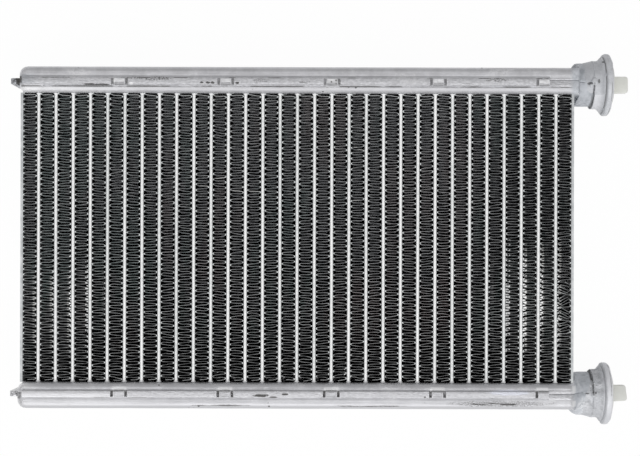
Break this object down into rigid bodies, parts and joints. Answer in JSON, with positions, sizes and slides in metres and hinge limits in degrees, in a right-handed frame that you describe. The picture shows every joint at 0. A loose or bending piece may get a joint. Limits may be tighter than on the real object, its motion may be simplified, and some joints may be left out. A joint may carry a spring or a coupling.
{
  "type": "heater core",
  "caption": "Brazed aluminium heater core: flat tubes and folded fins between two end tanks with plugged flanged ports; warms air from hot coolant.",
  "frame": {"origin": "middle of the whole outline, in the plane that the part lies on with its face up", "axes": "+X along the tanks towards the ports, +Y across the core to the upper tank, +Z out of the face"},
  "size_m": [0.2548, 0.1538, 0.0337],
  "materials": {
    "tank_aluminium": "drawn and brazed, satin",
    "flange_aluminium": "turned and brazed, matt",
    "tube_aluminium": "brazed, matt",
    "fin_aluminium": "brazed foil, matt",
    "plug_plastic": "moulded, matt"
  },
  "bodies": {
    "root": {"fin_01": "fin_aluminium", "fin_02": "fin_aluminium", "fin_03": "fin_aluminium", "fin_04": "fin_aluminium", "fin_05": "fin_aluminium", "fin_06": "fin_aluminium", "fin_07": "fin_aluminium", "fin_08": "fin_aluminium", "fin_09": "fin_aluminium", "fin_10": "fin_aluminium", "fin_11": "fin_aluminium", "fin_12": "fin_aluminium", "fin_13": "fin_aluminium", "fin_14": "fin_aluminium", "fin_15": "fin_aluminium", "fin_16": "fin_aluminium", "fin_17": "fin_aluminium", "fin_18": "fin_aluminium", "fin_19": "fin_aluminium", "fin_20": "fin_aluminium", "fin_21": "fin_aluminium", "fin_22": "fin_aluminium", "fin_23": "fin_aluminium", "fin_24": "fin_aluminium", "fin_25": "fin_aluminium", "fin_26": "fin_aluminium", "fin_27": "fin_aluminium", "fin_28": "fin_aluminium", "fin_29": "fin_aluminium", "fin_30": "fin_aluminium", "fin_31": "fin_aluminium", "fin_32": "fin_aluminium", "header_plate_lower": "tank_aluminium", "header_plate_upper": "tank_aluminium", "port_flanges": "flange_aluminium", "side_plate_left": "tube_aluminium", "side_plate_right": "tube_aluminium", "tank_cover_lower": "tank_aluminium", "tank_cover_upper": "tank_aluminium", "transit_plugs": "plug_plastic", "tubes_01": "tube_aluminium", "tubes_02": "tube_aluminium", "tubes_03": "tube_aluminium", "tubes_04": "tube_aluminium", "tubes_05": "tube_aluminium", "tubes_06": "tube_aluminium", "tubes_07": "tube_aluminium", "tubes_08": "tube_aluminium", "tubes_09": "tube_aluminium", "tubes_10": "tube_aluminium", "tubes_11": "tube_aluminium", "tubes_12": "tube_aluminium", "tubes_13": "tube_aluminium", "tubes_14": "tube_aluminium", "tubes_15": "tube_aluminium", "tubes_16": "tube_aluminium"}
  },
  "joints": []
}
